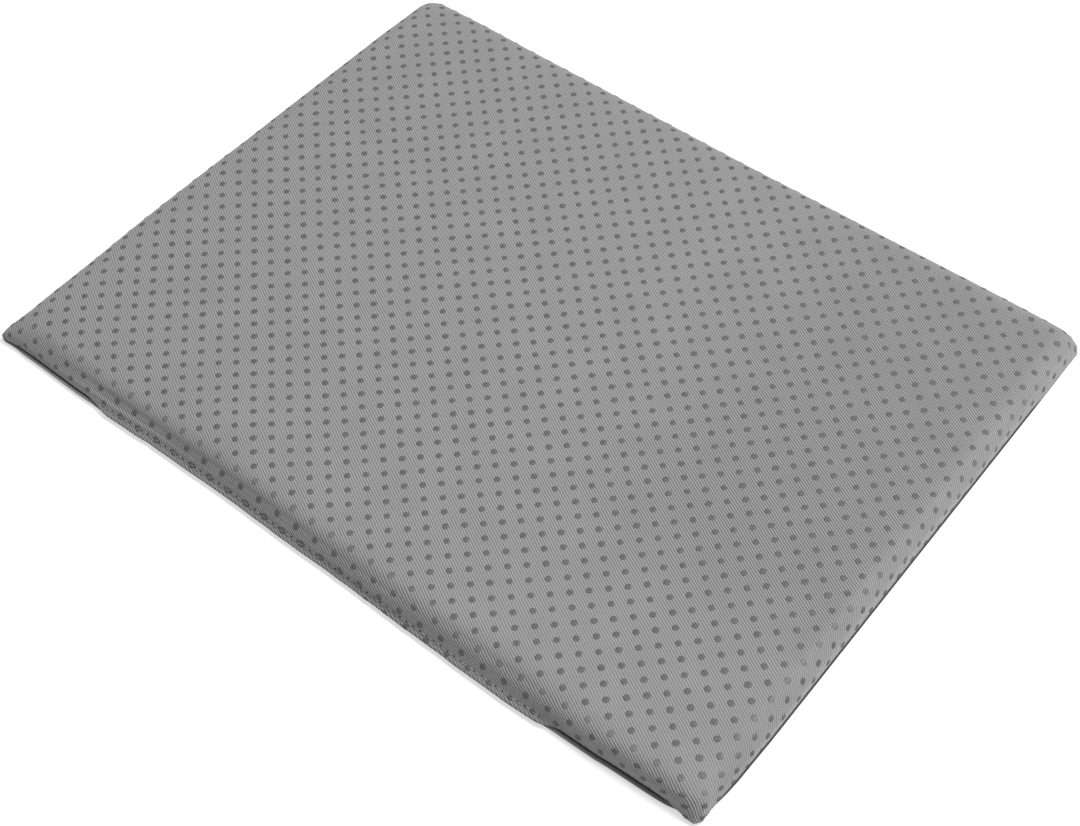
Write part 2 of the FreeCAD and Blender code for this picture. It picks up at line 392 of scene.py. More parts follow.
def table_at(nodes, rows, place, run):
    """Smooth look-up at a place along the side and a run."""
    k = int(np.clip(np.searchsorted(SETTLE_RUN, run) - 1, 0, len(SETTLE_RUN) - 2))
    start, end = SETTLE_RUN[k:k + 2]
    share = 0.5 * smooth(start, end, run) + 0.5 * np.clip((run - start) / (end - start), 0, 1)
    row = (1 - share) * np.array(rows[k]) + share * np.array(rows[k + 1])
    fine = np.linspace(nodes[0], nodes[-1], 400)
    blur = np.exp(-0.5 * (np.arange(-20, 21) * (fine[1] - fine[0]) / 7.0) ** 2)
    values = np.pad(np.interp(fine, nodes, row), 20, mode="edge")
    return np.interp(place, fine, np.convolve(values, blur / blur.sum(), mode="valid"))


def settle(plan, z, uv, run):
    """Moves a ring of the top cloth by the tables and the swells."""
    if run <= 0:
        return plan, z
    x, y = uv.T
    front = smooth(26, 22, EDGE_Y + y) * smooth(HALF_X - 2, HALF_X - 16, np.abs(x))
    right = smooth(26, 22, EDGE_X - x) * smooth(HALF_Y - 2, HALF_Y - 16, np.abs(y))
    total = np.maximum(front + right, 1.0)
    front, right = front / total, right / total
    keep = smooth(RUN_INNER, 20.0, run)
    plan = plan + keep * np.c_[-right * table_at(RIGHT_NODES, RIGHT_IN, y, run),
                               front * table_at(FRONT_NODES, FRONT_IN, x, run)]
    table = (front * table_at(FRONT_NODES, FRONT_UP, x, run)
             + right * table_at(RIGHT_NODES, RIGHT_UP, y, run))
    held = np.clip(front + right, 0, 1) * keep
    return plan, z + table * keep + swell(x, y) * (1 - held) * smooth(0.0, 10.0, run)


# =========================================================================================
# Seam outline and corners
# =========================================================================================
# departures of the sewn outline from a rectangle, outward (+) or inward (-):
# places along the side, then departures
FRONT_DRIFT = (
    [-181, -170, -156, -144, -133, -122, -114, -101, -92, -82, -63, -44, -25, -7, 11, 29,
     38, 47, 64, 72, 88, 96, 104, 112, 120, 135, 142, 150, 165, 173, 181],
    [0.35, -0.10, -0.10, 0.15, 0.35, 0.10, 0.10, -0.20, -0.65, -0.80, -0.90, -1.00, -0.60,
     -0.30, -0.35, -0.05, 0.25, 0.40, 0.60, 1.00, 1.05, 1.15, 0.80, 0.40, 0.0, -0.30, -0.85,
     -1.15, -1.65, -1.50, -0.8],
)
BACK_DRIFT = (
    [-181, -165, -139, -114, -65, -42, -19, 3, 25, 46, 67, 88, 108, 127, 155, 181],
    [-0.7, -0.80, -0.40, -0.80, -0.90, -0.90, -1.05, -1.20, -1.10, -0.85, -0.50, -0.30, 0.0,
     0.30, 0.45, 0.3],
)
LEFT_DRIFT = (
    [-139, -134, -124, -103, -93, -83, -72, -62, -40, -8, 3, 50, 99, 112, 139],
    [0.60, -0.50, -1.40, -1.85, -1.80, -1.60, -1.30, -1.05, -0.90, -1.00, -1.25, -1.20,
     -1.40, -1.70, -1.70],
)
RIGHT_DRIFT = (
    [-139, -131, -122, -114, -106, -95, 110, 128, 139],
    [-1.3, -1.3, -1.05, -0.70, -0.60, -0.37, -0.37, -0.60, -0.3],
)


def edge_drift(x, y, run):
    """Departure (dx, dy) of the points of a ring. It fades out later at the left and back."""
    late, early = smooth(20.0, 10.0, run), smooth(13.0, 2.0, run)
    left = smooth(-150, -172, x) * np.interp(y, *LEFT_DRIFT) * late
    right = smooth(150, 172, x) * np.interp(y, *RIGHT_DRIFT) * early
    front = smooth(-108, -130, y) * np.interp(x, *FRONT_DRIFT) * early
    back = smooth(108, 130, y) * np.interp(x, *BACK_DRIFT) * late
    return np.c_[right - left, back - front]


def closing_weight(plan, level):
    """1 at the stations inside the topstitched stretch of the front side, 0 elsewhere."""
    weight = np.zeros(len(plan))
    front = slice(NX // level + 1)
    x = plan[front, 0]
    weight[front] = (smooth(CLOSE_X0 - 5, CLOSE_X0 + 10, x)
                     * smooth(CLOSE_X1 + 7, CLOSE_X1 - 3, x))
    return weight


def corner_shape(plan, z, run):
    """The front right corner hangs as an ear, the front left one is pinched to a point and
    the back right one is drawn out a little."""
    x, y = plan.T
    ear = front_right_spot(x, y) * smooth(9.0, 0.5, run)
    tip = front_left_spot(x, y) * smooth(9.0, 0.5, run)
    far = corner_spot(x, y, 1, 1, inset=3, spread=6.0) * smooth(12.0, 0.5, run)
    moved = plan + np.c_[0.05 * ear - 0.95 * tip + 0.5 * far,
                         -0.75 * ear - 0.75 * tip + 0.5 * far]
    return moved, z - 1.75 * ear - 0.3 * tip


# =========================================================================================
# Top cloth
# =========================================================================================
# rows of the lip, from inside the seam to the foot of the side:
# inset, height over the seam, and in the closing: inset, height
LIP = [
    (2.6, 0.00, 2.0, 1.60),
    (2.0, 0.00, 1.2, 1.57),
    (1.5, 0.00, 0.4, 1.55),
    (1.1, 0.01, -0.4, 1.54),
    (0.80, 0.02, -1.1, 1.57),
    (0.55, 0.04, -1.50, 1.70),
    (0.35, 0.09, -1.68, 1.95),
    (0.20, 0.17, -1.66, 2.28),
    (0.08, 0.29, -1.44, 2.62),
    (0.02, 0.45, -1.05, 2.96),
    (0.00, 0.62, -0.55, 3.30),
]
# cloth length from each row of the lip to its last row, measured in the closing, negative
LIP_RUN = [-sum(math.hypot(LIP[k + 1][2] - LIP[k][2], LIP[k + 1][3] - LIP[k][3])
                for k in range(i, len(LIP) - 1)) for i in range(len(LIP))]
LIP_TUCK = 0.3                          # extra cloth length of the lip below the seam
# run: (inset, height) of the first rows of the side in the closing
CLOSE_WALL = {
    0.45: (-0.22, 3.52), 1.0: (0.06, 3.86), 1.6: (0.34, 4.24),
    2.2: (0.58, 4.76), 2.8: (0.80, 5.28), 3.45: (1.02, 5.84),
}
# runs of the rings at each density, and of the rings of the lining
FINE_RUNS = [*CLOSE_WALL, 4.1, 4.75, 5.4, 6.05, 6.7, 7.35, 8.0, 8.65, 9.3, 9.95, 10.6, 11.3,
             12.0]
MIDDLE_RUNS = (13.2, 14.5, 16.0, 18.0)
COARSE_RUNS = (20.5, 23.2, RUN_INNER)
LINING_RUNS = (1.2, 3.0, 5.5, 8.0, 10.0, 12.0, 14.5, 19.0, RUN_INNER)
# sideways slip of the cloth coordinates over the closing: x, slip in y
CLOTH_SLIP = ([-120, -80, -40, 0, 20, 50, 80, 100, 112],
              [1.6, 1.8, 1.9, 2.0, 1.7, 0.6, -0.3, 0.1, 0.3])
RUN_SLIP_END = 13.0


def gathers(plan, z, shut, lip, run):
    """Small regular unevenness that the sewing pulls into the cloth near the seam."""
    x, y = plan.T
    station = np.arange(len(x))
    near_x = smooth(HALF_X - 14, HALF_X - 3, np.abs(x))
    near_y = smooth(HALF_Y - 14, HALF_Y - 3, np.abs(y))
    out = np.c_[np.sign(x) * near_x, np.sign(y) * near_y]
    out /= np.maximum(np.linalg.norm(out, axis=1), 1e-6)[:, None]
    # scallops between the stitches of the seam
    if (run < 1.2) if lip is None else (lip >= 4):
        depth = 0.045 + 0.03 * value_noise(station * 0.7, 0, size=9, seed=21)
        scallop = np.cos(station * math.pi / 2) * (1 - shut) * depth
        z = z + scallop * 1.3
        plan = plan + out * (scallop * 0.8)[:, None]
    # folds gathered into the corners, about one to five stations
    drift = 2.2 * value_noise(station * 0.7, 0, size=12, seed=31)
    wave = np.cos(station * 2 * math.pi / 5.0 + drift)
    plan = plan + out * (0.16 * smooth(8.0, 0.5, run) * near_x * near_y * wave)[:, None]
    # pulled in at each needle hole of the closing, full between them
    depth = 0.13 * math.exp(-((run - RUN_STITCH) / 1.3) ** 2) if lip is None else 0.02
    depth = shut * depth * (1 + 0.5 * value_noise(x, 0, size=4.0, seed=17))
    puff = -np.cos((x - HOLE_X0) * 2 * math.pi / STITCH_PITCH) * depth
    lump = 0.10 * value_noise(x, 0, size=6.5, seed=41) * shut * smooth(6.0, 2.0, run)
    plan = plan - np.c_[np.zeros_like(x), 0.75 * puff + lump]
    return plan, z + 0.65 * puff


def top_row(run, level, lip=None):
    """One ring of the top cloth: plan, heights, cloth coordinates and closing weight.
    lip: an index into LIP, given with run 0."""
    if lip is None:
        inset, cloth_run, turned = inset_at(run), run, 1.0
        closed_at = CLOSE_WALL.get(run)
    else:
        inset, rise, *closed_at = LIP[lip]
        cloth_run, turned = -(inset + LIP_TUCK), smooth(2, 6, lip)
    radii = radii_at(run)
    plan = ring(HALF_X - inset, HALF_Y - inset, radii, level)
    if lip is None:
        share = np.interp(run, SECTION_RUN, SECTION_RISE)
        z = WALL_Z0 + rise_of_top(*plan.T) * share * corner_low(*plan.T)
    else:
        z = np.full(len(plan), SEAM_Z + rise)
    shut = closing_weight(plan, level)
    if closed_at:
        plan[:, 1] += shut * (closed_at[0] - inset)
        z = z * (1 - shut) + closed_at[1] * shut
    else:
        # the side above the closing lies a little further in and lower
        plan[:, 1] += shut * 0.15 * smooth(8.5, 3.0, run)
        z = z - shut * 0.62 * smooth(9.0, 3.4, run)
    # at the front and right the cloth just above the seam sits back from the strip below it
    back = 0.38 * smooth(5.0, 1.0, run) * turned
    plan[:, 1] += back * (1 - shut) * smooth(-HALF_Y + 16, -HALF_Y + 4, plan[:, 1])
    plan[:, 0] -= (back * smooth(HALF_X - 16, HALF_X - 4, plan[:, 0])
                   * (1 - 1.6 * smooth(92, 108, plan[:, 1])))
    plan = plan + edge_drift(*plan.T, run)
    plan, z = corner_shape(plan, z, run)
    if level == 1:
        plan, z = gathers(plan, z, shut, lip, run)

    if run >= RUN_INNER:
        uv = plan.copy()
    else:
        radii = [max(radius * 0.8, 0.6) for radius in radii]
        uv = ring(EDGE_X - cloth_run, EDGE_Y - cloth_run, radii, level)
        ease = np.clip((RUN_SLIP_END - cloth_run) / (RUN_SLIP_END - RUN_STITCH), 0, 1)
        uv[:, 1] += shut * np.interp(uv[:, 0], *CLOTH_SLIP) * ease
        if lip is not None:
            uv[:, 1] += shut * (LIP_RUN[lip] - cloth_run - LIP_TUCK)
    plan, z = settle(plan, z, uv, run)
    return plan, z, uv, shut


def top_rings(runs, level):
    return [(np.c_[plan, z], uv) for plan, z, uv, _ in (top_row(run, level) for run in runs)]


def build_top_face(top):
    """Outer face. Returns its fine rings as (vertex numbers, run, closing weight)."""
    rows = [top_row(0.0, 1, lip=i) for i in range(len(LIP))]
    rows += [top_row(run, 1) for run in FINE_RUNS]
    lip_runs = [-1.0 - 0.3 * (len(LIP) - i) for i in range(len(LIP))]
    fine = top.stack([(np.c_[plan, z], uv) for plan, z, uv, _ in rows])
    middle = top.stack(top_rings(MIDDLE_RUNS, 2), after=fine[-1])
    coarse = top.stack(top_rings(COARSE_RUNS, 4), after=middle[-1])
    top.fill(coarse[-1], flat_height)
    return list(zip(fine, lip_runs + FINE_RUNS, (row[3] for row in rows)))


def build_top_lining(top, edge):
    """Inner face, coarse, which makes the cover a closed solid."""
    rings = []
    for run in LINING_RUNS:
        plan, z, uv, shut = top_row(run, 4)
        angle = np.interp(run, SECTION_RUN, SECTION_ANGLE) if run < RUN_FLAT else 0.0
        half = np.array([HALF_X, HALF_Y]) - inset_at(run)
        plan = plan * ((half - CLOTH_T * math.sin(angle)) / half)
        plan[:, 1] += shut * (0.9 if run < 5 else 0.3)
        rings.append((np.c_[plan, z - CLOTH_T * math.cos(angle)], uv))
    lining = top.stack(rings, flip=True, after=edge)
    top.fill(lining[-1], lambda x, y: flat_height(x, y) - CLOTH_T, flip=True)


def top_seam_map(co, fine_rings):
    """Second UV map: x along the front side, y the distance from the line of stitches."""
    seam = np.full((len(co), 2), 90.0)
    for ids, run, shut in fine_rings:
        front = ids[:NX + 1]
        seam[front, 0] = co[front, 0]
        seam[front, 1] = (run - RUN_STITCH) + (1 - shut[:NX + 1]) * 30.0
    return seam


top = Builder()
fine_rings = build_top_face(top)
outer_co, outer_uv = top.arrays()
outer_faces = list(top.faces)
build_top_lining(top, fine_rings[0][0])


# =========================================================================================
# Bottom cloth
# =========================================================================================
# rows from inside the seam round the edge to the underside:
# inset, height, inset and height in the closing, how far it follows the bulge of the strip
BASE = [
    (2.6, 2.40, 2.0, 1.40, 0.0),
    (1.7, 2.24, 1.0, 1.38, 0.1),
    (1.05, 1.98, 0.1, 1.36, 0.3),
    (0.66, 1.90, -0.60, 1.34, 0.6),
    (0.36, 1.98, -0.95, 1.28, 0.9),
    (0.10, 1.98, -1.05, 1.15, 1.0),
    (-0.08, 1.78, -0.90, 1.02, 1.0),
    (-0.12, 1.46, -0.50, 0.88, 1.0),
    (0.00, 1.12, 0.00, 0.76, 1.0),
    (0.35, 0.80, 0.60, 0.62, 0.9),
    (1.00, 0.52, 1.30, 0.48, 0.6),
    (2.20, 0.28, 2.40, 0.30, 0.3),
    (4.50, 0.10, 4.50, 0.10, 0.1),
    (7.50, 0.01, 7.50, 0.01, 0.0),
    (10.5, 0.00, 10.5, 0.00, 0.0),
]
BASE_INNER_INSET = 20.0                 # innermost ring of the underside
LINING_EDGE = 2                         # row of BASE where the lining starts


def base_row(k, level, inward=0.0, lift=0.0):
    """Plan and heights of the ring for row k of BASE."""
    inset, height, closed_inset, closed_height, follow = BASE[k]
    grown = smooth(0, 1, k / (len(BASE) - 1))
    radii = [corner[2] + grown for corner in CORNERS]
    plan = ring(HALF_X - inset - inward, HALF_Y - inset - inward, radii, level)
    shut = closing_weight(plan, level)
    x, y = plan.T.copy()
    plan[:, 1] += shut * (closed_inset - inset)
    near = smooth(9.0, 2.5, inset)
    # the strip swells out under the front seam on both sides of the closing
    bulge = (0.75 * smooth(CLOSE_X0 + 14, CLOSE_X0 + 5, x)
             + 0.9 * smooth(CLOSE_X1 - 8, CLOSE_X1 + 4, x))
    bulge = (bulge * smooth(HALF_X - 6, HALF_X - 16, np.abs(x))
             * smooth(-HALF_Y + 14, -HALF_Y + 4, y))
    plan[:, 1] -= follow * bulge * (1 - shut)
    # it is drawn in under the front right corner and out at the front left one
    ear = front_right_spot(x, y) * near
    tip = front_left_spot(x, y) * near
    plan = plan + np.c_[-1.6 * ear, 1.6 * ear]
    plan = plan + edge_drift(x, y, 0.0) * near
    plan = plan + np.c_[-0.8 * tip, -0.6 * tip]
    z = height * (1 - shut) + closed_height * shut + lift - 1.3 * ear * height / BASE[0][1]
    return plan, np.maximum(z, lift)


def build_bottom():
    """Both faces of the bottom cloth. Returns the builder and the rings of the outer face."""
    bottom = Builder()
    half = np.array([HALF_X, HALF_Y])
    rings = []
    run = 0.0
    for k, (inset, height, *_) in enumerate(BASE):
        plan, z = base_row(k, 2)
        if k:
            run += math.hypot(inset - BASE[k - 1][0], height - BASE[k - 1][1])
        uv = plan * ((half - BASE[-1][0] + 8.0 - run) / (half - inset))
        rings.append((np.c_[plan, z], uv))
    outer = bottom.stack(rings, flip=True)

    def inner_ring(height):
        plan = ring(HALF_X - BASE_INNER_INSET, HALF_Y - BASE_INNER_INSET, [0.6] * 4, 4)
        return np.c_[plan, np.full(len(plan), height)], plan

    last = bottom.stack([inner_ring(0.0)], flip=True, after=outer[-1])[-1]
    bottom.fill(last, lambda x, y: np.zeros_like(x), flip=True)

    rings = []
    for k in (LINING_EDGE, 7, 10, 14):
        plan, z = base_row(k, 4, inward=CLOTH_T, lift=CLOTH_T if k > LINING_EDGE else 0.0)
        if k == LINING_EDGE:
            z = z - 0.5
            plan = plan * ((half - 1.8) / half)
        rings.append((np.c_[plan, z], plan))
    rings.append(inner_ring(CLOTH_T))
    last = bottom.stack(rings, after=outer[0])[-1]
    bottom.fill(last, lambda x, y: np.full_like(x, CLOTH_T))
    return bottom, outer


def bottom_seam_map(co, outer):
    """Second UV map: y counts the rows from the seam, where painted shade darkens the cloth."""
    seam = np.full((len(co), 2), 20.0)
    for k, ids in enumerate(outer):
        x, y = co[ids, 0], co[ids, 1]
        seam[ids, 1] = k + 6.0 * closing_weight(co[ids], 2)
        # along the right side the painted shade reaches further out on the strip
        seam[ids, 1] -= 3.6 * smooth(HALF_X - 8, HALF_X - 3, x) * smooth(112, 98, y)
    return seam


bottom, bottom_outer = build_bottom()


# =========================================================================================
# Materials
# =========================================================================================
RIB_PITCH = 1.06                        # ribs of the twill
RIB_COS, RIB_SIN = math.cos(math.radians(62.0)), math.sin(math.radians(62.0))


def grey(value):
    return (value, value, value, 1.0)


class Shader:
    """A material with a Principled surface, and short hand for its nodes."""

    def __init__(self, name):
        self.material = bpy.data.materials.new(name)
        self.material.use_nodes = True
        self.tree = self.material.node_tree
        self.tree.nodes.clear()
        output = self.node("ShaderNodeOutputMaterial")
        self.bsdf = self.node("ShaderNodeBsdfPrincipled")
        self.put(output.inputs["Surface"], self.bsdf.outputs["BSDF"])

    def node(self, kind, **props):
        node = self.tree.nodes.new(kind)
        for key, value in props.items():
            setattr(node, key, value)
        return node

    def put(self, socket, value):
        if isinstance(value, bpy.types.NodeSocket):
            self.tree.links.new(value, socket)
        else:
            socket.default_value = value

    def surface(self, values):
        for key, value in values.items():
            self.put(self.bsdf.inputs[key], value)
        return self.material

    def math(self, operation, *values, clamp=False):
        node = self.node("ShaderNodeMath", operation=operation, use_clamp=clamp)
        for socket, value in zip(node.inputs, values):
            self.put(socket, value)
        return node.outputs[0]

    def add(self, first, second):
        return self.math("ADD", first, second)

    def sub(self, first, second):
        return self.math("SUBTRACT", first, second)

    def mul(self, first, second, clamp=False):
        return self.math("MULTIPLY", first, second, clamp=clamp)

    def mul_add(self, value, times, plus, clamp=False):
        return self.math("MULTIPLY_ADD", value, times, plus, clamp=clamp)

    def vary(self, base, noise, amount, clamp=False):
        """base, shifted by noise about its middle."""
        return self.mul_add(self.sub(noise, 0.5), amount, base, clamp)

    def wave(self, turns):
        """Cosine wave between 0 and 1."""
        return self.mul_add(self.math("COSINE", self.mul(turns, 2 * math.pi)), 0.5, 0.5)

    def ramp(self, value, start, end):
        """Smooth step from 0 at start to 1 at end."""
        node = self.node("ShaderNodeMapRange", interpolation_type="SMOOTHSTEP")
        for key, item in (("Value", value), ("From Min", start), ("From Max", end)):
            self.put(node.inputs[key], item)
        return node.outputs["Result"]

    def ramps(self, *ramps):
        """Product of ramps, each (value, start, end)."""
        result = self.ramp(*ramps[0])
        for ramp in ramps[1:]:
            result = self.mul(result, self.ramp(*ramp))
        return result

    def mix(self, factor, first, second):
        node = self.node("ShaderNodeMix", data_type="RGBA")
        for key, value in (("Factor", factor), ("A", first), ("B", second)):
            self.put(node.inputs[key], value)
        return node.outputs["Result"]

    def toned(self, colour, value):
        node = self.node("ShaderNodeHueSaturation")
        self.put(node.inputs["Color"], colour)
        self.put(node.inputs["Value"], value)
        return node.outputs[0]

    def noise(self, vector, scale, detail, roughness=0.5):
        node = self.node("ShaderNodeTexNoise")
        self.put(node.inputs["Vector"], vector)
        self.put(node.inputs["Scale"], scale)
        self.put(node.inputs["Detail"], detail)
        self.put(node.inputs["Roughness"], roughness)
        return node.outputs["Fac"]

    def bump(self, height, strength, depth):
        """depth in millimetres."""
        node = self.node("ShaderNodeBump")
        self.put(node.inputs["Strength"], strength)
        self.put(node.inputs["Distance"], depth * MM)
        self.put(node.inputs["Height"], height)
        return node.outputs[0]

    def scaled(self, vector, scale):
        node = self.node("ShaderNodeVectorMath", operation="SCALE")
        self.put(node.inputs[0], vector)
        self.put(node.inputs["Scale"], scale)
        return node.outputs[0]

    def position(self):
        """World position in metres."""
        return self.node("ShaderNodeNewGeometry").outputs["Position"]

    def map_coords(self, uv_map="cloth"):
        """A UV map in millimetres: vector, x, y."""
        vector = self.scaled(self.node("ShaderNodeUVMap", uv_map=uv_map).outputs["UV"], UV_UNIT)
        split = self.node("ShaderNodeSeparateXYZ")
        self.put(split.inputs[0], vector)
        return vector, split.outputs["X"], split.outputs["Y"]

    def rib_turns(self, x, y):
        """Count of twill ribs across the cloth."""
        across = self.add(self.mul(x, RIB_COS), self.mul(y, RIB_SIN))
        return self.math("DIVIDE", across, RIB_PITCH)


def twill_material():
    net = Shader("cover_twill")
    cloth, x, y = net.map_coords()
    # slow drift keeps the ribs from being perfectly straight
    drift = net.mul(net.sub(net.noise(cloth, scale=0.03, detail=2.0), 0.5), 0.9)
    turns = net.add(net.rib_turns(x, y), drift)
    rib = net.math("POWER", net.wave(turns), 0.7)
    # floats of yarn, 0.82 mm long, along each rib, stepped 0.37 from one rib to the next
    along = net.sub(net.mul(y, RIB_COS), net.mul(x, RIB_SIN))
    rib_number = net.math("FLOOR", net.add(turns, 0.5))
    floats = net.wave(net.add(net.mul(along, 1.0 / 0.82), net.mul(rib_number, 0.37)))
    fuzz = net.noise(cloth, scale=2.2, detail=3.0, roughness=0.65)
    blotch = net.noise(cloth, scale=0.05, detail=3.0)

    def yarn():
        return net.mul_add(floats, times=0.10, plus=net.mul(rib, 0.90))

    height = net.mul_add(fuzz, times=0.30, plus=yarn())
    # contrast of the ribs comes and goes a little over the cloth
    contrast = net.mul_add(net.noise(cloth, scale=0.16, detail=2.0), times=0.5, plus=0.55)
    # painted shading: the rib contrast is raised over the front roll, where the light grazes the
    # ribs, and lowered on the flat front right
    roll = net.ramp(y, start=-EDGE_Y + 13.0, end=-EDGE_Y + 8.0)
    flat = net.ramps((x, 30.0, 130.0), (y, -20.0, -110.0))
    weakly_shaded_flat = net.mul(flat, net.sub(1.0, roll))
    contrast = net.mul(contrast, net.mul_add(roll, times=0.7, plus=1.0))
    contrast = net.mul(contrast, net.mul_add(weakly_shaded_flat, times=-0.35, plus=1.0))
    # painted shade: the back right of the top is made a little darker, with stronger rib
    # contrast, standing in for how the light falls there
    right_painted_shade = net.ramps((x, 20.0, 120.0), (y, -100.0, -30.0),
                     (x, EDGE_X - 10.0, EDGE_X - 20.0), (y, EDGE_Y - 8.0, EDGE_Y - 18.0))
    contrast = net.mul(contrast, net.mul_add(right_painted_shade, times=0.5, plus=1.0))
    mean_shade = 0.62                   # the contrast works about this shade
    shade = net.mul_add(net.sub(yarn(), mean_shade), times=contrast, plus=mean_shade)
    shade = net.vary(shade, fuzz, amount=0.75, clamp=True)
    value = net.mul(net.mul_add(blotch, times=0.16, plus=0.92),
                    net.mul_add(right_painted_shade, times=-0.11, plus=1.0))
    colour = net.toned(net.mix(shade, grey(0.082), grey(0.230)), value)
    # needle holes of the closing topstitch: painted shade darkens each hole, and the bump sinks
    # it
    _, hole_x, hole_y = net.map_coords("seam")
    hole_x = net.math("DIVIDE", net.sub(hole_x, HOLE_X0), STITCH_PITCH)
    hole_x = net.mul(net.sub(hole_x, net.math("ROUND", hole_x)), STITCH_PITCH)
    square = net.add(net.mul(hole_x, hole_x), net.mul(hole_y, hole_y))
    around_hole = net.ramp(net.math("SQRT", square), start=0.28, end=0.62)
    # painted shade: the underside of the folded edge of the closing is darkened
    above_fold = net.ramp(hole_y, start=-3.75, end=-3.15)
    # painted shade: near-black for the needle holes and for the underside of the folded edge
    dark = grey(0.012)
    colour = net.mix(net.mul_add(above_fold, times=0.75, plus=0.25), dark, colour)
    height = net.mul_add(around_hole, times=2.5, plus=height)
    return net.surface({
        "Base Color": net.mix(around_hole, dark, colour),
        "Roughness": net.mul_add(fuzz, times=0.15, plus=0.78),
        "Normal": net.bump(height, strength=0.85, depth=0.24),
        "Sheen Weight": 0.22,
        "Sheen Roughness": 0.45,
        "Specular IOR Level": 0.25,
    })


def plain_weave_material():
    net = Shader("base_fabric")
    cloth, x, y = net.map_coords()
    pitch = 0.55                        # of the threads, both ways
    warp, weft = (net.math("COSINE", net.mul(c, 2 * math.pi / pitch)) for c in (x, y))
    weave = net.mul_add(net.mul(warp, weft), times=0.5, plus=0.5)
    fuzz = net.noise(cloth, scale=2.5, detail=3.0, roughness=0.6)
    blotch = net.noise(cloth, scale=0.06, detail=3.0)
    shade = net.vary(weave, fuzz, amount=0.5, clamp=True)
    colour = net.toned(net.mix(shade, grey(0.12), grey(0.21)),
                       net.mul_add(blotch, times=0.2, plus=0.9))
    # painted shade: darker where the cloth turns into the seam groove
    _, _, row = net.map_coords("seam")
    clear_of_seam_shade = net.ramp(net.vary(row, fuzz, amount=1.2), start=2.2, end=3.5)
    return net.surface({
        "Base Color": net.mix(clear_of_seam_shade, grey(0.035), colour),
        "Roughness": net.mul_add(fuzz, times=0.12, plus=0.8),
        "Normal": net.bump(net.mul_add(fuzz, times=0.3, plus=weave), strength=0.8, depth=0.10),
        "Sheen Weight": 0.15,
        "Specular IOR Level": 0.25,
    })


def silicone_material():
    net = Shader("grip_silicone")
    # the print sits in the weave, so the ribs show through it
    _, x, y = net.map_coords()
    rib = net.wave(net.rib_turns(x, y))
    place = net.scaled(net.position(), 1000.0)
    grain = net.noise(place, scale=1.6, detail=3.0, roughness=0.6)
    blotch = net.noise(place, scale=0.09, detail=2.0)
    shade = net.vary(0.28, grain, amount=1.5)
    shade = net.mul_add(rib, times=0.25, plus=shade)
    shade = net.mul_add(blotch, times=0.2, plus=shade, clamp=True)
    # painted highlight: the dots are lightened in a band where the cloth bends over the front and
    # right rolls, which lies 4.5 mm nearer the seam towards the back
    back = net.ramp(y, start=-70.0, end=10.0)
    from_right = net.add(net.sub(EDGE_X, x), net.mul(back, 4.5))
    from_seam = net.math("MINIMUM", net.add(y, EDGE_Y), from_right)
    painted_highlight_band = net.ramps((from_seam, 8.0, 10.3), (from_seam, 15.2, 12.8))
    painted_highlight_band = net.mul(painted_highlight_band, net.mul_add(blotch, times=0.5, plus=0.18), clamp=True)
    colour = net.mix(shade, grey(0.038), grey(0.104))
    return net.surface({
        "Base Color": net.mix(painted_highlight_band, colour, grey(0.16)),
        "Roughness": net.mul_add(grain, times=0.2, plus=0.48),
        "Normal": net.bump(net.mul_add(rib, times=0.5, plus=grain), strength=0.7, depth=0.12),
        "Specular IOR Level": 0.28,
    })


def thread_material():
    net = Shader("thread")
    cloth, x, y = net.map_coords()
    # 1.6 turns of the twist per millimetre of thread
    twist = net.wave(net.add(net.mul(x, 1.6), y))
    fuzz = net.noise(cloth, scale=5.0, detail=2.0, roughness=0.6)
    shade = net.vary(twist, fuzz, amount=0.4, clamp=True)
    return net.surface({
        "Base Color": net.mix(shade, grey(0.15), grey(0.24)),
        "Roughness": net.mul_add(fuzz, times=0.2, plus=0.5),
        "Normal": net.bump(twist, strength=0.8, depth=0.05),
    })


def inner_material(name, light, dark, scale, roughness, depth, coat=0.0):
    """For the pieces inside the cover. scale: fineness of the grain. depth: of the bump."""
    net = Shader(name)
    place = net.scaled(net.position(), 1000.0)
    grain = net.noise(place, scale=scale, detail=4.0, roughness=0.6)
    cells = net.node("ShaderNodeTexVoronoi")
    net.put(cells.inputs["Vector"], place)
    net.put(cells.inputs["Scale"], scale * 1.3)
    shade = net.mul_add(cells.outputs["Distance"], times=0.5, plus=net.mul(grain, 0.6),
                        clamp=True)
    return net.surface({
        "Base Color": net.mix(shade, dark, light),
        "Roughness": net.mul_add(grain, times=0.2, plus=roughness - 0.1),
        "Normal": net.bump(shade, strength=0.7, depth=depth),
        "Coat Weight": coat,
    })


twill, base_fabric = twill_material(), plain_weave_material()
silicone, thread = silicone_material(), thread_material()

make_piece("top_cover_cloth", top, twill, part="top_cover",
           seam=top_seam_map(top.arrays()[0], fine_rings))
make_piece("bottom_cover_cloth", bottom, base_fabric, part="bottom_cover",
           seam=bottom_seam_map(bottom.arrays()[0], bottom_outer))


# =========================================================================================
# Grip dots: low silicone domes that follow the cloth over the rolled edges
# =========================================================================================
DOT_RADIUS = 1.38
DOT_SIDES = 16
DOT_TOP = 0.155
# share of the radius, height over the cloth
DOT_PROFILE = [(0.5, 0.148), (0.8, 0.125), (0.95, 0.07), (1.0, -0.06)]
DOT_PITCH = 10.0                        # along rows and columns; every other row is between
DOT_ORIGIN = np.array([4.165, -5.742]) + PRINT_MIDDLE
ROW_DIR = np.array([1.00463, 0.0148])
COLUMN_DIR = np.array([0.02655, 0.99493])


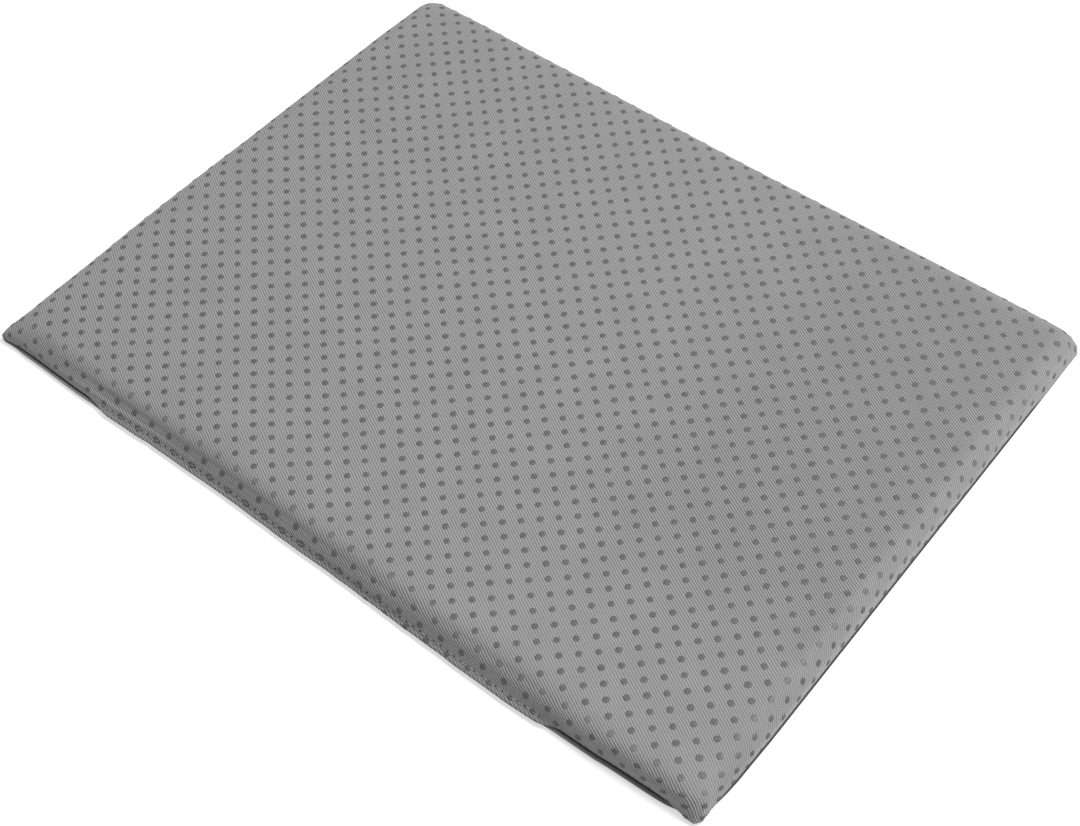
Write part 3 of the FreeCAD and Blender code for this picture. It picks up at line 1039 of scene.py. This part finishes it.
class ClothMap:
    """Finds the place in space of points given in cloth coordinates."""

    def __init__(self, co, uv, faces):
        self.co, self.uv = co, uv
        self.tris = np.array([(face[0], face[k], face[k + 1])
                              for face in faces for k in range(1, len(face) - 1)])
        self.tree = BVHTree.FromPolygons(np.c_[uv, np.zeros(len(uv))].tolist(),
                                         self.tris.tolist())
        first, second, third = (co[self.tris[:, k]] for k in range(3))
        face_normals = np.cross(second - first, third - first)
        normals = np.zeros_like(co)
        for k in range(3):
            np.add.at(normals, self.tris[:, k], face_normals)
        self.normals = normals / np.maximum(np.linalg.norm(normals, axis=1), 1e-9)[:, None]

    def place(self, points):
        """Cloth coordinates -> points, unit normals, and whether each is on the cloth."""
        index = np.zeros(len(points), int)
        on_cloth = np.zeros(len(points), bool)
        points = np.array(points, float)
        for i, (x, y) in enumerate(points):
            hit = self.tree.ray_cast(Vector((x, y, 5.0)), Vector((0, 0, -1)))
            if hit[2] is None:
                near = self.tree.find_nearest(Vector((x, y, 0.0)))
                index[i] = near[2]
                points[i] = near[0].xy
            else:
                index[i] = hit[2]
                on_cloth[i] = True
        tris = self.tris[index]
        first, second, third = (self.uv[tris[:, k]] for k in range(3))
        side1, side2, offset = second - first, third - first, points - first

        def cross(one, other):
            return one[:, 0] * other[:, 1] - other[:, 0] * one[:, 1]

        area = cross(side1, side2)
        area = np.where(np.abs(area) < 1e-12, 1e-12, area)
        weight1, weight2 = cross(offset, side2) / area, cross(side1, offset) / area
        weights = np.c_[1 - weight1 - weight2, weight1, weight2]
        place, normal = (sum(weights[:, k:k + 1] * values[tris[:, k]] for k in range(3))
                         for values in (self.co, self.normals))
        length = np.maximum(np.linalg.norm(normal, axis=1), 1e-9)
        return place, normal / length[:, None], on_cloth


def dot_centres():
    """Centres of the dots in cloth coordinates: a skewed grid, slightly bowed."""
    centres = []
    for i in range(-48, 36):
        for j in range(-32, 40):
            if (i - j) % 2:
                continue
            x, y = (i / 2.0 + 3.7) * DOT_PITCH, (j / 2.0 - 1.0) * DOT_PITCH
            centre = DOT_ORIGIN + x * ROW_DIR + y * COLUMN_DIR
            x, y = (np.clip(v / reach, -1.25, 1.25) for v, reach in zip((x, y), PRINT_REACH))
            bow = np.array([-0.77 * x**3 + 0.13 * x * y**2 - 0.43 * x**2 - 1.64 * y**2,
                            -0.04 * y**3 - 0.40 * y * x**2 + 2.11 * x**2 + 0.48 * y**2])
            centres.append(centre + bow)
    return np.array(centres)


def add_dot(dots, cloth, centre, widen, raise_by):
    angle = np.arange(DOT_SIDES) * 2 * math.pi / DOT_SIDES
    circle = np.c_[np.cos(angle), np.sin(angle)]
    flat, heights = [centre[None]], [DOT_TOP * raise_by]
    for share, height in DOT_PROFILE:
        flat.append(centre + circle * DOT_RADIUS * widen * share)
        heights += [height * raise_by] * DOT_SIDES
    flat = np.vstack(flat)
    place, normal, _ = cloth.place(flat)
    ids = dots.add(place + normal * np.array(heights)[:, None], flat)
    rings = ids[1:].reshape(-1, DOT_SIDES)
    fan = np.c_[np.full(DOT_SIDES, ids[0]), rings[0], np.roll(rings[0], -1)]
    dots.faces.extend(fan.tolist())
    for inner, outer in zip(rings, rings[1:]):
        dots.strip(inner, outer, flip=True)
    dots.faces.append(rings[-1][::-1].tolist())


def build_dots():
    cloth = ClothMap(outer_co, outer_uv, outer_faces)
    centres = dot_centres()
    centres = centres[(np.abs(centres) < (EDGE_X + 1, EDGE_Y + 1)).all(axis=1)]
    centres = centres[cloth.place(centres)[2]]
    groups = {key: Builder() for key in ("front_left", "front_right", "back_left", "back_right")}
    random = np.random.RandomState(11)
    for centre in centres:
        key = ("front_" if centre[1] < 0 else "back_") + ("left" if centre[0] < 0 else "right")
        widen, raise_by = random.uniform(0.95, 1.05), random.uniform(0.9, 1.1)
        add_dot(groups[key], cloth, centre, widen, raise_by)
    for key, dots in groups.items():
        make_piece("grip_dots_" + key, dots, silicone, part="grip_dots")


build_dots()


# =========================================================================================
# Threads
# =========================================================================================
def build_closing_stitches():
    rows = {run: ids[:NX + 1] for ids, run, _ in fine_rings}
    line = 0.5 * (outer_co[rows[1.0]] + outer_co[rows[1.6]])
    stitches = Builder()
    random = np.random.RandomState(4)
    arch = np.sin(math.pi * np.linspace(0, 1, 11)) ** 0.5
    lift = -0.18 + 0.32 * arch          # the ends dip into the cloth
    start = HOLE_X0
    while start + STITCH_PITCH < CLOSE_X1 + 1.0:
        x = start + np.linspace(0.05, 0.95, 11) * STITCH_PITCH
        y = np.interp(x, line[:, 0], line[:, 1]) - 0.7 * lift + random.uniform(-0.03, 0.03)
        z = np.interp(x, line[:, 0], line[:, 2]) + 0.7 * lift
        stitches.tube(np.c_[x, y, z], 0.15 * (0.7 + 0.3 * arch), sides=8, start=start)
        start += STITCH_PITCH
    make_piece("closing_stitches", stitches, thread, part="closing_topstitch")


def build_seam_stitches():
    """The seam's own thread, a beaded line at the bottom of the groove."""
    inset, bead_step, steps_per_bead = 1.15, 0.42, 6
    plan = ring(HALF_X - inset, HALF_Y - inset, radii_at(0), 1)
    plan[:, 1] -= closing_weight(plan, 1) * 1.6
    plan = plan + edge_drift(*plan.T, 0.0)
    loop = np.vstack([plan, plan[:1]])
    length = np.r_[0, np.cumsum(np.linalg.norm(np.diff(loop, axis=0), axis=1))]
    count = int(length[-1] / bead_step)
    count -= count % steps_per_bead
    at = np.linspace(0, length[-1], count + 1)[:-1]
    x, y = np.interp(at, length, loop[:, 0]), np.interp(at, length, loop[:, 1])
    bead = np.cos(np.arange(count) / steps_per_bead * 2 * math.pi)
    seam = Builder()
    seam.tube(np.c_[x, y, SEAM_Z - 0.10 + 0.05 * bead], 0.13 + 0.04 * bead, sides=6, closed=True)
    make_piece("seam_stitches", seam, thread, part="seam_thread")


build_closing_stitches()
build_seam_stitches()


# =========================================================================================
# Inner pieces: the wadding follows the cloth, the others keep their CAD shape
# =========================================================================================
WADDING_Z0 = 10.95
# rim of the wadding: half length in x, share of the thickness
WADDING_RIM = [(169.0, 0.0), (169.4, 0.35), (169.0, 0.75), (168.0, 0.97), (166.0, 1.0)]


def build_wadding():
    """Soft sheet under the top cloth: flat below, follows the cloth above."""
    wadding = Builder()
    cover = BVHTree.FromPolygons(outer_co.tolist(), outer_faces)
    missed, down = Vector((0, 0, 12.0)), Vector((0, 0, -1))

    def under_cloth(x, y):
        z = np.array([(cover.ray_cast(Vector((px, py, 40.0)), down)[0] or missed).z
                      for px, py in zip(x.tolist(), y.tolist())])
        return np.maximum(z - 1.25 * CLOTH_T - 0.08, 11.0)

    rings = []
    for half, share in WADDING_RIM:
        plan = ring(half, half - 40.0, [16.0] * 4, 4)
        z = WADDING_Z0 + (under_cloth(*plan.T) - WADDING_Z0) * share
        rings.append((np.c_[plan, z], plan))
    plan = ring(150.0, 110.0, [0.6] * 4, 4)
    rings.append((np.c_[plan, under_cloth(*plan.T)], plan))
    rows = wadding.stack(rings)
    wadding.fill(rows[-1], under_cloth)
    low = wadding.add(np.c_[plan, np.full(len(plan), WADDING_Z0)], plan)
    wadding.strip(rows[0], low, flip=True)
    wadding.fill(low, lambda x, y: np.full_like(x, WADDING_Z0), flip=True)
    return wadding


foam = inner_material("foam", light=grey(0.66), dark=grey(0.50), scale=0.9, roughness=0.85,
                      depth=0.25)
wadding = inner_material("wadding", light=grey(0.84), dark=grey(0.68), scale=0.35,
                         roughness=0.95, depth=0.4)
make_piece("wadding_soft", build_wadding(), wadding, part="wadding_sheet")
film = inner_material("mat_film", light=(0.78, 0.81, 0.83, 1), dark=(0.70, 0.73, 0.76, 1),
                      scale=0.12, roughness=0.22, depth=0.15, coat=0.4)
crystal = inner_material("crystals", light=(0.90, 0.92, 0.94, 1), dark=(0.74, 0.78, 0.82, 1),
                         scale=0.8, roughness=0.5, depth=0.5)


def finish_cad_pieces():
    for node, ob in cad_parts.items():
        if node.startswith("crystal_fill"):
            material = crystal
        elif node.startswith("crystal_mat"):
            material = film
        else:
            material = {"foam_backing": foam, "wadding_sheet": wadding}.get(node)
        if material is None:
            continue
        if not ob.material_slots:
            ob.data.materials.append(material)
        for slot in ob.material_slots:
            slot.material = material


finish_cad_pieces()


# =========================================================================================
# Floor, light, camera (metres)
# =========================================================================================
FLOOR_HALF, FLOOR_Z = 6.0, -0.0002
CAMERA_PLACE = Vector((0.302934, -0.380272, 0.576373))
# directions of the camera's own axes: right, up, backward
CAMERA_AXES = (
    (0.7831688239958977, 0.6218079505831754, -0.0012106659827971489),
    (-0.4895516322787933, 0.6177897503138368, 0.6153657641907029),
    (0.38338726172597304, -0.48134259836045046, 0.7882407694018982),
)


def build_floor():
    mesh = bpy.data.meshes.new("floor")
    corners = [(x * FLOOR_HALF, y * FLOOR_HALF, FLOOR_Z)
               for x, y in ((-1, -1), (1, -1), (1, 1), (-1, 1))]
    mesh.from_pydata(corners, [], [(0, 1, 2, 3)])
    floor = bpy.data.objects.new("floor", mesh)
    bpy.context.scene.collection.objects.link(floor)
    net = Shader("floor_paper")
    cloud = net.noise(net.position(), scale=3.0, detail=3.0)
    # its own glow keeps the shadow at the foot of the pad pale
    mesh.materials.append(net.surface({
        "Base Color": net.mix(cloud, grey(0.36), grey(0.39)),
        "Roughness": 0.9,
        "Specular IOR Level": 0.1,
        "Emission Color": grey(1.0),
        "Emission Strength": 0.55,
    }))


def area_light(name, place, target, size, power):
    data = bpy.data.lights.new(name, "AREA")
    data.shape = "RECTANGLE"
    data.size, data.size_y = size
    data.energy = power
    ob = bpy.data.objects.new(name, data)
    ob.location = place
    ob.rotation_mode = "QUATERNION"
    ob.rotation_quaternion = (Vector(target) - Vector(place)).to_track_quat("-Z", "Y")
    bpy.context.scene.collection.objects.link(ob)


def build_world():
    world = bpy.data.worlds.new("studio")
    bpy.context.scene.world = world
    world.use_nodes = True
    background = world.node_tree.nodes["Background"]
    background.inputs["Color"].default_value = grey(1.0)
    background.inputs["Strength"].default_value = 0.58


def build_camera():
    data = bpy.data.cameras.new("camera")
    data.sensor_fit = "HORIZONTAL"
    data.sensor_width = 36.0
    data.lens = 59.33633333
    data.shift_x, data.shift_y = -0.00046296296, 0.00046296296
    data.clip_start, data.clip_end = 0.01, 50
    camera = bpy.data.objects.new("camera", data)
    bpy.context.scene.collection.objects.link(camera)
    turn = Matrix(CAMERA_AXES).transposed().to_4x4()
    camera.matrix_world = Matrix.Translation(CAMERA_PLACE) @ turn
    bpy.context.scene.camera = camera


build_floor()
build_world()
area_light("key", place=(0.74, 0.62, 1.9), target=(0, 0, 0), size=(0.9, 0.9), power=70)
bpy.context.scene.view_settings.view_transform = "Standard"
build_camera()
